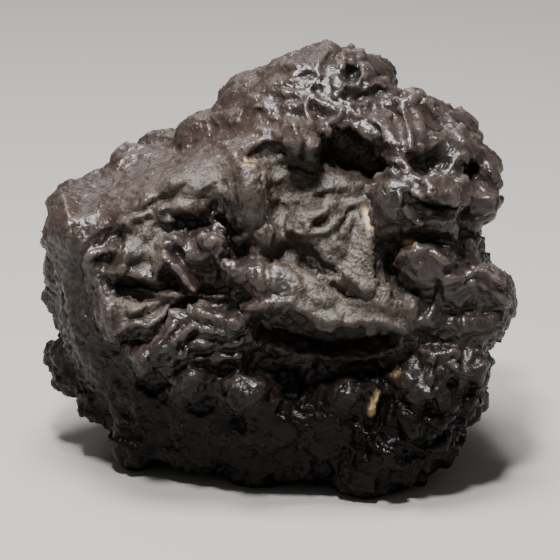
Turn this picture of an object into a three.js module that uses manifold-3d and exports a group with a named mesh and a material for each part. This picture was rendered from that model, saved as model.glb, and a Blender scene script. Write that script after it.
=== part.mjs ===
// Prophecy stone: a dark, heavy iron-oxide concretion, grown as one piece and worn by desert wind.
//
// The stone is drawn as it is seen from the front. Its forms are written as [right, toward, up] in
// millimetres from a point in its middle, where toward points at somebody who looks slightly down on it.
// The forms together give a signed distance, and the surface is where that is zero. The stone is then
// tipped back by the angle of that look, so that it lies on its feet with +Z up.

import * as THREE from 'three';
import { mergeVertices } from 'three/addons/utils/BufferGeometryUtils.js';
import { ImprovedNoise } from 'three/addons/math/ImprovedNoise.js';
import { MarchingCubes } from 'three/addons/objects/MarchingCubes.js';
import Module from 'manifold-3d';

// Driving dimensions, in millimetres and degrees.
const LOOK_DOWN = 18;
const FLOOR_BELOW_MIDDLE = 32.4;
const REACH = 48;
const CELLS = 43;
const BLOCK_WIDTH = 108;
const BLOCK_TAPER = 0.32;

// How softly neighbouring forms run into each other.
const BODY_ROUNDING = 5;
const ADD_BLEND = 1.6;
const CUT_BLEND = 1.3;
const DETAIL_BLEND = 0.8;

// The broad faces that bound the body, each with the way it faces and its distance from the middle.
const FACES = {
  plateau: { facing: [-0.41, 0.3, 0.86], distance: 24.6 },
  topFront: { facing: [0, 0.56, 0.83], distance: 29.5 },
  crown: { facing: [-0.25, -0.1, 0.96], distance: 33 },
  topRight: { facing: [0.62, 0.1, 0.78], distance: 35 },
  frontLeft: { facing: [-0.35, 0.92, -0.1], distance: 22.5 },
  frontRight: { facing: [0.33, 0.93, -0.05], distance: 27 },
  lowerLeft: { facing: [-0.42, 0.7, -0.575], distance: 30.2 },
  lowerFront: { facing: [0.05, 0.66, -0.75], distance: 33 },
  lowerRight: { facing: [0.45, 0.45, -0.77], distance: 38.4 },
  leftEnd: { facing: [-0.97, 0.2, -0.1], distance: 36 },
  leftFlank: { facing: [-0.8, 0, -0.6], distance: 37.5 },
  leftBack: { facing: [-0.72, -0.66, 0.2], distance: 32 },
  rightEnd: { facing: [0.99, 0.1, 0.05], distance: 34.5 },
  rightFlank: { facing: [0.88, 0, -0.47], distance: 36 },
  rightBack: { facing: [0.7, -0.7, 0.1], distance: 32.5 },
  back: { facing: [0, -1, 0], distance: 27.5 },
  backTop: { facing: [-0.1, -0.72, 0.69], distance: 30.5 },
  backBottom: { facing: [0, -0.75, -0.66], distance: 31.5 },
  underside: { facing: [0, -0.31, -0.95], distance: 31 },
};

// Large forms, in the order in which they are added to the body or cut out of it. Each has its middle
// and its half sizes. A higher power than 2 squares it up. Its turn tips the top away, then rolls it
// anticlockwise as seen from the front, in degrees.
const FORMS = [
  // Crown
  { add: [7.6, -2, 20], half: [16, 17.5, 18.2] },
  { add: [-2.2, -2, 26.6], half: [12, 14, 5], turn: [-14, 38] },
  { add: [7.4, -3, 35.8], half: [4.4, 6, 3.1] },
  { add: [2.2, -4, 33.8], half: [3.4, 6, 2.6] },
  { add: [14.8, -3, 33.2], half: [4.4, 6.5, 3.7] },
  { add: [16.8, -2, 31.2], half: [2.8, 5, 2.4] },
  { add: [-3.4, -5, 30.4], half: [2.8, 6, 2.6] },
  { add: [-9.4, -5, 25.6], half: [4, 7, 2.4] },
  { add: [-17.6, -9, 19.4], half: [6, 7, 2.2], turn: [0, 12] },
  { add: [-26.2, -9, 16.6], half: [5.4, 7, 2.4], turn: [0, 20] },
  // Right shoulder
  { add: [23.2, -1, 26.6], half: [4.2, 7, 3.3] },
  { add: [29.8, -3, 23.4], half: [5, 8, 4.4] },
  { add: [21.6, 8, 24], half: [5, 6, 6] },
  { add: [28, 8, 19.6], half: [5.5, 7, 4.5] },
  { add: [33.4, 4, 17], half: [4.9, 9, 4.4] },
  { add: [33.4, 7, 11], half: [4.7, 9, 3.4] },
  // Broad broken hollow in the middle, slanting out to the ledge, and the two recesses under its arch
  { cut: [6.6, 28.2, 11.2], half: [11.8, 14, 12.6], square: 4, turn: [25, -6] },
  { cut: [13.6, 17.4, 19.2], half: [7.4, 9, 3.7], square: 2.6, turn: [0, -32] },
  { cut: [10.4, 18, 19.6], half: [3.4, 7, 3.6] },
  { cut: [-1.6, 19.6, 19.8], half: [4.2, 5, 2], square: 2.4, turn: [0, 12] },
  { cut: [15.5, 27.4, -0.6], half: [8, 9, 6], square: 3, turn: [27, -30] },
  // Set back around the blocks at the right
  { cut: [28, 26, 4.4], half: [11.4, 11, 13], square: 4, turn: [0, -8] },
  // Underside of the ledge, facing down to the front
  { cut: [9, 26.4, -20.4], half: [14.6, 12, 8], square: 5, turn: [-44, -10] },
  { cut: [29, 24, -13.4], half: [8.5, 9, 4.2], square: 3, turn: [-30, -6] },
  // Blocks right of the hollow
  { add: [24, 13, 12.2], half: [7.6, 10.6, 3.1], square: 5, turn: [6, 0] },
  { add: [23.8, 10.4, 6.6], half: [6.6, 8.6, 2.6], square: 5 },
  { add: [25.2, 14, 1.2], half: [4.8, 9.4, 3.4], square: 2.8 },
  { add: [25.4, 12, -3], half: [3, 8, 2.8] },
  { add: [33, 9.5, -3.1], half: [6.8, 12, 3], square: 3.4, turn: [8, -5] },
  { add: [31.4, 9, -9], half: [7.4, 10, 2.6], square: 3.4, turn: [0, 4] },
  { add: [32, 3, 3.4], half: [4.2, 7, 3.8] },
  // Lower right cluster
  { add: [29.8, 10, -15.4], half: [5.4, 9, 4], square: 2.6 },
  { add: [24.6, 13.5, -20], half: [5.6, 8, 4], square: 3, turn: [10, -20] },
  { add: [31, 8, -21.6], half: [4, 8, 4.4] },
  { add: [23, 11.5, -26.4], half: [6, 7.5, 3.4], square: 3, turn: [0, -16] },
  { add: [27.6, 5, -28.4], half: [4.2, 7, 3.8] },
  { add: [12.4, 12.5, -21.6], half: [6, 7.5, 4.2], square: 2.6 },
  // Ledge across the front, with the pale bulge at its left
  { add: [9.2, 13.6, -5], half: [14.8, 10.4, 2.2], square: 5, turn: [14, -10] },
  { add: [1.6, 14.4, -1.8], half: [4.4, 8, 3.6] },
  // Front left face
  { cut: [-11.6, 27, 5.4], half: [9.6, 10, 7.4], square: 3, turn: [4, 0] },
  { cut: [-10.6, 26, -4.2], half: [7, 8.4, 2.8], square: 3, turn: [0, -6] },
  { cut: [-24, 22, -2.8], half: [4.2, 7, 1.9] },
  { cut: [-29, 18, 6], half: [5, 6, 2.2], turn: [0, 16] },
  { add: [-5, 12.4, 11], half: [2, 7.4, 9], square: 2.6, turn: [16, -6] },
  { add: [-11.4, 13, 3.6], half: [2.8, 8, 3.6] },
  { add: [-6.6, 13, -0.4], half: [2.4, 9, 2.2] },
  { add: [-16.8, 11, 3], half: [2.6, 7, 3.4] },
  { add: [-12.8, 10.6, 13.4], half: [7.6, 8, 3], square: 2.6, turn: [20, 30] },
  { add: [-23.6, 12.4, 4], half: [4.4, 6, 2.8] },
  { add: [-23.6, 12.5, -7], half: [6.4, 6.6, 3.2], square: 2.6, turn: [0, -10] },
  { add: [-15.6, 15, -10.4], half: [9.4, 6.6, 3.2], square: 3, turn: [-14, 24] },
  { add: [-4.8, 15, -20.6], half: [4.8, 6.5, 3.6] },
  { add: [-13.8, 14.5, -17.8], half: [4.4, 6, 3] },
  // Left end
  { add: [-34.4, 3, 6], half: [5.4, 9, 5.6] },
  { add: [-33.4, -1, 11.4], half: [4, 6, 3.4] },
  { add: [-35.6, -3, 0.6], half: [4.4, 7, 4] },
  { add: [-35.8, -8, -3], half: [4, 6, 3.2] },
  { add: [-33.6, -7, -8.6], half: [3.8, 6, 3.6] },
  { add: [-35.6, -7, -14.2], half: [4.6, 7, 3.2] },
  { add: [-34.8, -7, -18.6], half: [4.4, 5.5, 2.4] },
  { add: [-30.6, -4, -23], half: [4, 5, 3.4] },
  { cut: [-39.4, 13, -4.6], half: [4.2, 8, 11], turn: [0, -8] },
  // Notches in the right outline
  { cut: [39.6, 4, 5.2], half: [5.4, 30, 2.7], square: 3 },
  // Feet and the bump between them
  { add: [-23.6, -2, -29.3], half: [4.8, 8, 5] },
  { add: [16.2, 7.4, -30.8], half: [8, 10, 7.2], square: 2.5, turn: [0, 16] },
  { add: [21.6, 6, -31.4], half: [4.6, 8, 4.4], square: 2.5 },
  { add: [-2, 5, -31.4], half: [7, 8, 5.4] },
  { add: [-12, 1, -30], half: [8, 7, 3.4] },
  { add: [6, -16, -25], half: [8, 8, 4.6] },
  { cut: [6.6, 18, -38.6], half: [4, 12, 3.2] },
];

// Smaller lumps and pits of the front, each where it is seen as [right, up], with its half sizes. It
// stands out of the surface there by so much, or is sunk in it where that is below zero.
const DETAILS = [
  // Cups and knobs of the crown
  { at: [8, 27.2], half: [2.7, 2.3], by: -1.7 },
  { at: [13, 33.4], half: [1.8, 2.3], by: -1.4 },
  { at: [17.3, 32.8], half: [1.8, 1.8], by: -1.4 },
  { at: [7.2, 31.8], half: [2, 1.5], by: -1 },
  { at: [12.6, 29.2], half: [2.2, 1.5], by: -1 },
  { at: [16.4, 27], half: [2.1, 1.7], by: -1.2 },
  { at: [3.4, 28.2], half: [1.8, 1.3], by: -0.9 },
  { at: [19.6, 25.6], half: [2, 2.8], by: -1.5 },
  { at: [18.6, 29.8], half: [2, 1.4], by: -1 },
  { at: [4.4, 33.6], half: [3, 2], by: 1 },
  { at: [-2.6, 29.6], half: [4, 2.4], by: 1.3 },
  { at: [-7, 25.4], half: [3.4, 1.8], by: 1 },
  { at: [-1.6, 25.6], half: [3.6, 1.8], by: 0.9 },
  // Drip of the arch between its two recesses
  { at: [4.4, 22.4], half: [2, 3.6], by: 2.6 },
  { at: [6.2, 19.2], half: [1.5, 2], by: 2.2 },
  // Shoulder
  { at: [25.4, 21], half: [1.6, 2.6], by: -1.8 },
  { at: [29.6, 24.4], half: [2.4, 1.7], by: -1.1 },
  { at: [24.2, 26.6], half: [1.5, 2], by: -0.9 },
  { at: [32.2, 17.6], half: [2.6, 2], by: -2.4 },
  { at: [34.8, 11.2], half: [2.8, 2.4], by: 1 },
  // Square notch in the upper block, and the gaps under the blocks
  { at: [28, 11.7], half: [2.9, 1.4], by: -2.4 },
  { at: [20.4, 12], half: [2.4, 1.2], by: -0.9 },
  { at: [24, 9.2], half: [5.4, 0.8], by: -1.1 },
  { at: [23.6, 5.1], half: [5, 0.8], by: -1.3 },
  { at: [31.4, 7.4], half: [1.5, 3], by: -1.6 },
  { at: [33, -6.5], half: [5, 0.8], by: -1.2 },
  { at: [30.2, 0.4], half: [1.2, 2.4], by: -1.2 },
  // Granular floor of the hollow
  { at: [6.2, 8.6], half: [2.9, 2.5], by: 1.8 },
  { at: [12.4, 10.4], half: [2.2, 3.6], by: -0.9 },
  { at: [0.4, 11.6], half: [3, 3.8], by: -1 },
  { at: [2.6, 16.2], half: [4, 1.8], by: 0.9 },
  { at: [9, 14.6], half: [3.4, 1.6], by: 0.8 },
  { at: [7.8, 2.6], half: [3.4, 2], by: 1.3 },
  { at: [13.6, 3], half: [2.4, 4], by: 0.9 },
  { at: [9.2, -2.4], half: [4.4, 1.1], by: -1.6 },
  { at: [1.2, 4], half: [2.2, 1.5], by: -1 },
  { at: [18.6, -2.6], half: [2.6, 2.6], by: 0.8 },
  // Front left face
  { at: [-11.4, 4], half: [2.7, 3.2], by: 2.6 },
  { at: [-6.6, -0.2], half: [2, 2], by: 2 },
  { at: [-6, 5], half: [1.8, 2.2], by: -1.6 },
  { at: [-14.6, 8.2], half: [4.4, 2.2], by: -1.8 },
  { at: [-16.6, 3], half: [2.6, 2.6], by: 1.4 },
  { at: [-24.6, 4], half: [3.6, 2.4], by: 1.4 },
  { at: [-30, 3.6], half: [2.4, 2.8], by: 1 },
  { at: [-24, -2.8], half: [3.2, 1.5], by: -1.8 },
  { at: [-11, -3.8], half: [4.6, 1.9], by: -1.5 },
  { at: [-26.2, -6], half: [3, 2.4], by: 1 },
  { at: [-13.4, 13.2], half: [3.4, 1.8], by: 0.9 },
  { at: [-9, 16], half: [2, 2.2], by: -1 },
  // Dark lower face
  { at: [-14, -17.8], half: [3.2, 2.3], by: 1 },
  { at: [-4.6, -20.4], half: [3.6, 2.8], by: 1 },
  { at: [2.4, -18.4], half: [2.4, 1.9], by: -1.2 },
  { at: [-20, -21], half: [4, 2.4], by: -0.9 },
  { at: [-10, -27], half: [5, 2.6], by: 0.9 },
  { at: [12.6, -21], half: [3, 2], by: 0.9 },
  { at: [8.6, -24.6], half: [2, 1.4], by: -0.9 },
  { at: [16.4, -25.6], half: [1.6, 2.4], by: -1.4 },
  { at: [1, -29.6], half: [3.4, 2], by: -0.8 },
  // Glassy cluster
  { at: [28, -15.4], half: [3, 2.4], by: 1.3 },
  { at: [24.2, -18.8], half: [2.6, 1.8], by: 1.2 },
  { at: [21.6, -23.4], half: [2.6, 1.6], by: 1.3 },
  { at: [27.4, -23.6], half: [2.4, 1.8], by: 1.2 },
  { at: [22, -20.8], half: [2, 1.1], by: -1.4 },
  { at: [25.4, -26], half: [4, 1], by: -1.5 },
  { at: [33.2, -19], half: [1.6, 3.2], by: 1 },
];

// Sharp ridges of the front, each through points where it is seen, with its half width.
const RIDGES = [
  // Ragged lower edge of the plateau, running on as the arch over the hollow
  { width: 1.1, through: [[-35, 4.6], [-33, 7.4], [-29.6, 8.4], [-25, 10], [-21, 12.6], [-17.4, 14.4], [-14.6, 17.2]] },
  { width: 1.1, through: [[-14.6, 17.2], [-11.6, 18.3], [-8, 20.2], [-5, 21.8], [-2, 22.8], [1.6, 22.6], [3.6, 25.2]] },
  { width: 1.2, through: [[3.6, 25.2], [7.4, 24.8], [12, 25.6], [14.8, 24.2], [17.6, 20.6], [20.6, 17.6]] },
  // Rims of the cups, and the creases of the crown
  { width: 0.9, through: [[5.2, 29], [5.4, 26.4], [8, 24.6], [10.8, 26], [10.6, 29]] },
  { width: 0.9, through: [[9.6, 37.6], [8.6, 35], [9.6, 32.6], [11, 31.4]] },
  { width: 0.8, through: [[11.2, 35.6], [11, 32.6], [12.8, 30.8], [15.2, 31]] },
  { width: 0.8, through: [[15, 35.8], [15.2, 32.6], [17, 30.8], [19.4, 31]] },
  { width: 0.9, through: [[1.4, 26.2], [4.6, 27.2], [5.4, 29.8], [9.4, 30.2], [13.8, 27.4]] },
  // Blades that fan out over the right shoulder
  { width: 1.1, through: [[15.4, 28.6], [17.8, 24.8], [20.2, 21], [22.6, 17]] },
  { width: 1.2, through: [[21.6, 29.2], [22.6, 25.4], [23, 21.4], [24.6, 17.4]] },
  { width: 1.1, through: [[25.8, 27.8], [28.2, 25], [31.2, 21.8], [34.2, 19.4]] },
  { width: 1, through: [[23.8, 23.4], [27, 20.2], [30.4, 18.4], [30, 15.6]] },
  // Rib between the front left face and the hollow
  { width: 1.3, through: [[-7.6, 19.4], [-5.6, 14.6], [-5.2, 9.6], [-4.4, 5.4], [-3.2, 1.4], [-2.4, -2.6]] },
  // Crests inside the hollow
  { width: 0.9, through: [[2.8, 7], [5.4, 9.4], [9, 11.6]] },
  { width: 0.9, through: [[2.8, 6.8], [6.4, 6.2], [8.6, 8.6]] },
  { width: 0.9, through: [[4.4, 4.6], [7.4, 1.4], [12, -1.8], [15, -4.4]] },
  // Lip of the ledge
  { width: 1.1, through: [[-4.8, -6.4], [-1.2, -5.4], [2.4, -5.2], [6.4, -6.2], [12, -7], [17.6, -7.2], [22.4, -8.6]] },
  // Brow over the small recess, and the layers below it
  { width: 1.1, through: [[-27.2, -0.9], [-24.8, 0.4], [-20.4, -0.2], [-18.6, 1.6], [-16.4, -0.8], [-14.6, -3]] },
  { width: 0.9, through: [[-28.6, -9.8], [-23.6, -8.6], [-19, -6.4], [-15.6, -4.6]] },
  { width: 0.9, through: [[-25.4, -12.4], [-19.6, -10.4], [-14.8, -8], [-10, -7.4]] },
  { width: 0.9, through: [[-24, -15.6], [-18, -13], [-13, -10.2], [-6, -9]] },
  { width: 0.8, through: [[-15.4, -15.4], [-10.6, -12.6], [-5.4, -11.4]] },
  // Top edges of the blocks
  { width: 0.9, through: [[16.8, 14.6], [20.6, 15.4], [24.6, 14.2], [30.8, 14.2]] },
  { width: 0.8, through: [[21, 10], [25, 9.8], [30.4, 10.2]] },
  { width: 0.9, through: [[21, 3], [24.4, 4], [28.8, 2.8]] },
  { width: 0.9, through: [[28.4, -5.4], [33.6, -5.6], [39, -4.8]] },
  // Smooth facet at the left
  { width: 1, through: [[-36.6, 6], [-36.4, -1], [-35.2, -7.6], [-34.6, -14]] },
  // Glassy cluster
  { width: 0.8, through: [[19.6, -18.2], [22.8, -17.4], [26.4, -19.8], [29.6, -22.2]] },
  { width: 0.8, through: [[19.8, -22], [22.6, -20], [26.2, -22.2]] },
  { width: 0.9, through: [[18.8, -24.6], [23.4, -25], [27.6, -27.2], [30.6, -24]] },
  { width: 0.8, through: [[15.4, -28.6], [18, -30.6], [20.6, -32.8]] },
];

// Knobs that cover the sides and the back, which carry no large forms of their own.
const KNOBS = { count: 150, smallest: 3.4, largest: 6.2, sunk: 0.62, facesFront: -0.08 };

// Weathering: a slow warp of every form, and finer relief on its surface.
const WARP = { over: 11, by: 0.7 };
const RELIEF = { over: 4.2, by: 0.45 };

// No detail reaches further than this from the large forms.
const DETAIL_REACH = 7;

const MOST_TRIANGLES = 20000;
const CLEAR = 0.04;
const RELAX_ROUNDS = 3;
const RELAX_SHARE = 0.5;
const RIDGE_SINK = 0.1;
const GOLDEN_ANGLE = Math.PI * (3 - Math.sqrt(5));
const perlin = new ImprovedNoise();
const scratch = new THREE.Vector3();
const beside = new THREE.Vector3();
const warped = new THREE.Vector3();

// Features are written [right, toward, up]; the model's own axes are right, away and up.
const place = ([right, toward, up]) => new THREE.Vector3(right, -toward, up);
const TOWARD = place([0, 1, 0]);

function smoothMin(a, b, blend) {
  const near = Math.max(blend - Math.abs(a - b), 0) / blend;
  return Math.min(a, b) - near * near * blend / 4;
}

const smoothMax = (a, b, blend) => -smoothMin(-a, -b, blend);

function makeForm({ add, cut, half, square = 2, turn = [0, 0] }) {
  const [lean, roll] = turn.map(THREE.MathUtils.degToRad);
  const toForm = new THREE.Quaternion().setFromEuler(new THREE.Euler(-lean, -roll, 0)).invert();
  return { isCut: !add, centre: place(add ?? cut), half, square, toForm };
}

// Signed distance, roughly, to an ellipsoid, or with a higher power to a rounded block.
function toLump(p, form) {
  const local = scratch.copy(p).sub(form.centre).applyQuaternion(form.toForm);
  const [width, depth, height] = form.half;
  const x = Math.abs(local.x) / width;
  const y = Math.abs(local.y) / depth;
  const z = Math.abs(local.z) / height;
  const size = (x ** form.square + y ** form.square + z ** form.square) ** (1 / form.square);
  return (size - 1) * Math.min(width, depth, height);
}

function toRidge(p, ridge) {
  const along = THREE.MathUtils.clamp(ridge.line.closestPointToPointParameter(p, false), 0, 1);
  return ridge.line.at(along, scratch).distanceTo(p) - ridge.width;
}

const faces = Object.values(FACES).map(({ facing, distance }) => ({
  normal: place(facing).normalize(),
  distance,
}));
const forms = FORMS.map(makeForm);
const details = [];
const ridges = [];

function toBody(p) {
  return faces.reduce(
    (deepest, face) => smoothMax(deepest, face.normal.dot(p) - face.distance, BODY_ROUNDING),
    -REACH,
  );
}

function withForm(distance, p, form, blend) {
  const toForm = toLump(p, form);
  return form.isCut ? smoothMax(distance, -toForm, blend) : smoothMin(distance, toForm, blend);
}

function toLargeForms(p) {
  return forms.reduce(
    (distance, form) => withForm(distance, p, form, form.isCut ? CUT_BLEND : ADD_BLEND),
    toBody(p),
  );
}

// The signed distance to the whole stone at a point: below zero is inside it.
function toStone(point) {
  const p = warped.set(
    point.x + WARP.by * perlin.noise(point.x / WARP.over, point.y / WARP.over, point.z / WARP.over + 31),
    point.y + WARP.by * perlin.noise(point.x / WARP.over + 57, point.y / WARP.over, point.z / WARP.over),
    point.z + WARP.by * perlin.noise(point.x / WARP.over, point.y / WARP.over + 83, point.z / WARP.over),
  );
  const rough = toLargeForms(p);
  if (Math.abs(rough) > DETAIL_REACH) return rough;
  let distance = details.reduce((soFar, form) => withForm(soFar, p, form, DETAIL_BLEND), rough);
  for (const ridge of ridges) distance = smoothMin(distance, toRidge(p, ridge), DETAIL_BLEND);
  const r = RELIEF.over;
  return distance + RELIEF.by * perlin.noise(point.x / r, point.y / r + 19, point.z / r);
}

// The first point of a form met on the way in from outside, going against a direction.
function outermost(start, direction, toForm) {
  const step = 0.5;
  const halvings = 12;
  const point = new THREE.Vector3();
  const at = (distance) => point.copy(direction).multiplyScalar(distance).add(start);
  let outside = REACH;
  while (outside > -REACH && toForm(at(outside)) > 0) outside -= step;
  let inside = outside;
  outside += step;
  for (let i = 0; i < halvings; i++) {
    const middle = (inside + outside) / 2;
    if (toForm(at(middle)) > 0) outside = middle;
    else inside = middle;
  }
  return at(inside);
}

// How steeply a signed distance rises along each axis at a point, which is also the way it faces there.
function slopeOf(toForm, point, nudge) {
  const here = toForm(point);
  return new THREE.Vector3(
    toForm(beside.copy(point).setX(point.x + nudge)) - here,
    toForm(beside.copy(point).setY(point.y + nudge)) - here,
    toForm(beside.copy(point).setZ(point.z + nudge)) - here,
  ).divideScalar(nudge);
}

// Where the front of the stone is seen at [right, up], and the way that it faces there.
function seen([right, up]) {
  const nudge = 0.3;
  const point = outermost(place([right, 0, up]), TOWARD, toLargeForms);
  return { point, normal: slopeOf(toLargeForms, point, nudge).normalize() };
}

function addDetails() {
  for (const { at, half: [width, height], by } of DETAILS) {
    const depth = Math.max(width, height, Math.abs(by));
    const { point, normal } = seen(at);
    const centre = point.addScaledVector(normal, by > 0 ? by - depth : depth + by);
    const toForm = new THREE.Quaternion().setFromUnitVectors(normal, TOWARD);
    details.push({ isCut: by < 0, centre, half: [width, depth, height], square: 2, toForm });
  }
}

function addRidges() {
  for (const { through, width } of RIDGES) {
    const points = through.map((at) => {
      const { point, normal } = seen(at);
      return point.addScaledVector(normal, -RIDGE_SINK * width);
    });
    for (let i = 1; i < points.length; i++) ridges.push({ line: new THREE.Line3(points[i - 1], points[i]), width });
  }
}

// Knobs on a spiral of evenly spread directions, each half sunk in the body, of uneven size.
function addKnobs() {
  const middle = new THREE.Vector3();
  for (let i = 0; i < KNOBS.count; i++) {
    const height = 1 - (2 * i + 1) / KNOBS.count;
    const turn = i * GOLDEN_ANGLE;
    const across = Math.sqrt(1 - height * height);
    const direction = new THREE.Vector3(across * Math.cos(turn), across * Math.sin(turn), height);
    if (direction.dot(TOWARD) > KNOBS.facesFront) continue;
    const uneven = (scale, shift) => THREE.MathUtils.clamp(perlin.noise(i * scale + 0.37, shift, 0.5) + 0.5, 0, 1);
    const size = THREE.MathUtils.lerp(KNOBS.smallest, KNOBS.largest, uneven(1.7, 3.1));
    const half = [size * (0.8 + 0.5 * uneven(2.3, 7.7)), size * (0.8 + 0.5 * uneven(2.9, 1.3)), size * 0.9];
    const centre = outermost(middle, direction, toLargeForms).addScaledVector(direction, -size * KNOBS.sunk);
    details.push({ isCut: false, centre, half, square: 2, toForm: new THREE.Quaternion() });
  }
}

function toSolid(wasm, geometry) {
  const bare = geometry.clone();
  bare.deleteAttribute('normal');
  bare.deleteAttribute('uv');
  const merged = mergeVertices(bare, 1e-4);
  return new wasm.Manifold(new wasm.Mesh({
    numProp: 3,
    vertProperties: merged.attributes.position.array,
    triVerts: new Uint32Array(merged.index.array),
  }));
}

function toGeometry(solid) {
  const mesh = solid.getMesh();
  const geometry = new THREE.BufferGeometry();
  geometry.setAttribute('position', new THREE.BufferAttribute(new Float32Array(mesh.vertProperties), 3));
  geometry.setIndex(new THREE.BufferAttribute(new Uint32Array(mesh.triVerts), 1));
  geometry.computeVertexNormals();
  return geometry;
}

// A point of the block of cells, from -1 to 1 each way. The block is narrower toward the front, where
// the cells are finest and the stone has its forms.
function inBlock(point) {
  const across = BLOCK_WIDTH / 2 * (1 + BLOCK_TAPER * point.y);
  return point.set(point.x * across, point.y * REACH, point.z * across);
}

// The surface where the signed distance is zero, in a block of cells. It keeps clear of the corners of
// the cells, so that no two corners of the surface fall together.
function stoneSurface() {
  const cubes = new MarchingCubes(CELLS, ironOxide, false, false, MOST_TRIANGLES);
  cubes.isolation = 0;
  const point = new THREE.Vector3();
  const along = (i) => i / (CELLS / 2) - 1;
  for (let z = 0; z < CELLS; z++) {
    for (let y = 0; y < CELLS; y++) {
      for (let x = 0; x < CELLS; x++) {
        const distance = toStone(inBlock(point.set(along(x), along(y), along(z))));
        cubes.setCell(x, y, z, distance > 0 ? -Math.max(distance, CLEAR) : Math.max(-distance, CLEAR));
      }
    }
  }
  cubes.update();
  const corners = cubes.positionArray.slice(0, cubes.count * 3);
  const surface = new THREE.BufferGeometry();
  surface.setAttribute('position', new THREE.BufferAttribute(corners, 3));
  for (let i = 0; i < cubes.count; i++) {
    inBlock(point.fromArray(corners, 3 * i)).toArray(corners, 3 * i);
  }
  return relaxed(largestShell(mergeVertices(surface, 1e-3)));
}

// Keeps the largest closed surface, without any crumb that is not joined to it.
function largestShell(surface) {
  const index = [...surface.index.array];
  const shells = Array.from({ length: surface.attributes.position.count }, (_, corner) => corner);
  const shellOf = (corner) => (shells[corner] === corner ? corner : (shells[corner] = shellOf(shells[corner])));
  index.forEach((corner, i) => {
    if (i % 3) shells[shellOf(corner)] = shellOf(index[i - 1]);
  });
  const sizes = new Map();
  for (const corner of index) sizes.set(shellOf(corner), (sizes.get(shellOf(corner)) ?? 0) + 1);
  const [largest] = [...sizes].reduce((best, next) => (next[1] > best[1] ? next : best));
  surface.setIndex(index.filter((corner) => shellOf(corner) === largest));
  return surface;
}

// Evens out the triangles: each corner moves to the mean of its neighbours, then back to the surface.
function relaxed(surface) {
  const position = surface.attributes.position;
  const neighbours = Array.from({ length: position.count }, () => new Set());
  for (let i = 0; i < surface.index.count; i += 3) {
    for (let j = 0; j < 3; j++) {
      const from = surface.index.getX(i + j);
      neighbours[from].add(surface.index.getX(i + (j + 1) % 3)).add(surface.index.getX(i + (j + 2) % 3));
    }
  }
  const corner = new THREE.Vector3();
  for (let round = 0; round < RELAX_ROUNDS; round++) {
    const means = neighbours.map((around) => {
      const mean = new THREE.Vector3();
      for (const other of around) mean.add(corner.fromBufferAttribute(position, other));
      return mean.divideScalar(around.size);
    });
    means.forEach((mean, i) => {
      corner.fromBufferAttribute(position, i).lerp(mean, RELAX_SHARE);
      position.setXYZ(i, ...ontoStone(corner).toArray());
    });
  }
  return surface;
}

// Moves a point near the surface onto it, down the slope of the signed distance.
function ontoStone(point) {
  const nudge = 0.05;
  const leastSteepness = 0.25;
  const slope = slopeOf(toStone, point, nudge);
  return point.addScaledVector(slope, -toStone(point) / Math.max(slope.lengthSq(), leastSteepness));
}

// Cuts the feet level where the stone bears on the surface that it lies on.
function levelFeet(wasm, surface) {
  const block = new THREE.BoxGeometry(4 * REACH, 4 * REACH, 2 * REACH);
  block.translate(0, 0, -REACH - FLOOR_BELOW_MIDDLE);
  return toGeometry(toSolid(wasm, surface).subtract(toSolid(wasm, block)));
}

addDetails();
addRidges();
addKnobs();

const ironOxide = new THREE.MeshStandardMaterial({ color: 0x3a3331, roughness: 0.38, metalness: 0.35 });

const wasm = await Module();
wasm.setup();

const lying = stoneSurface().rotateX(THREE.MathUtils.degToRad(-LOOK_DOWN));
const stoneGeometry = levelFeet(wasm, lying);
stoneGeometry.computeBoundingBox();
const { min, max } = stoneGeometry.boundingBox;
stoneGeometry.translate(-(min.x + max.x) / 2, -(min.y + max.y) / 2, -min.z);

const stone = new THREE.Mesh(stoneGeometry, ironOxide);
stone.name = 'stone';

const root = new THREE.Group();
root.add(stone);
export default root;
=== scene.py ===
import math

import bmesh
import bpy
import numpy as np
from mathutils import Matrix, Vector, noise


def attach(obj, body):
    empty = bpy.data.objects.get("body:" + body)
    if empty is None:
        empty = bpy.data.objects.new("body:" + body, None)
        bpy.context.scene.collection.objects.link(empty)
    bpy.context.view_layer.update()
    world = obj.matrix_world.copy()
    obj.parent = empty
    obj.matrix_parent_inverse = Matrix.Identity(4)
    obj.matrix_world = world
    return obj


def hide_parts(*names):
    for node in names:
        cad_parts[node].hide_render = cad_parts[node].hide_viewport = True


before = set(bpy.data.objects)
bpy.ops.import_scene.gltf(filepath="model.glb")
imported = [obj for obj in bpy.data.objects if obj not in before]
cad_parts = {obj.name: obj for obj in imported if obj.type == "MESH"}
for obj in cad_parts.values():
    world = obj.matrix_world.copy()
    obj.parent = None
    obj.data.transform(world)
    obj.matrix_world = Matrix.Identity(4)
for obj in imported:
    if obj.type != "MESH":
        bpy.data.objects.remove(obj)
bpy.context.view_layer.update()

# Camera
# It stands where the photographer stood: in front, looking a little down, far enough off that the
# stone is hardly drawn in perspective. Picture places are millimetres right of and above the middle.
MM = 0.001
LOOK_DOWN = math.radians(18)
CAMERA_DISTANCE = 500 * MM
SENSOR_WIDTH = 36
FRAME_WIDTH = 95.7265 * MM
SEEN_MIDDLE = Vector((0, -2.04, 32.4)) * MM
FRAME_MIDDLE_RIGHT = 0.6 * MM
FRAME_MIDDLE_DOWN = 1.45 * MM
NEAREST_SEEN = 10 * MM

TO_CAMERA = Vector((0, -math.cos(LOOK_DOWN), math.sin(LOOK_DOWN)))
PICTURE_UP = Vector((0, math.sin(LOOK_DOWN), math.cos(LOOK_DOWN)))
RIGHT = Vector((1, 0, 0))

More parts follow.
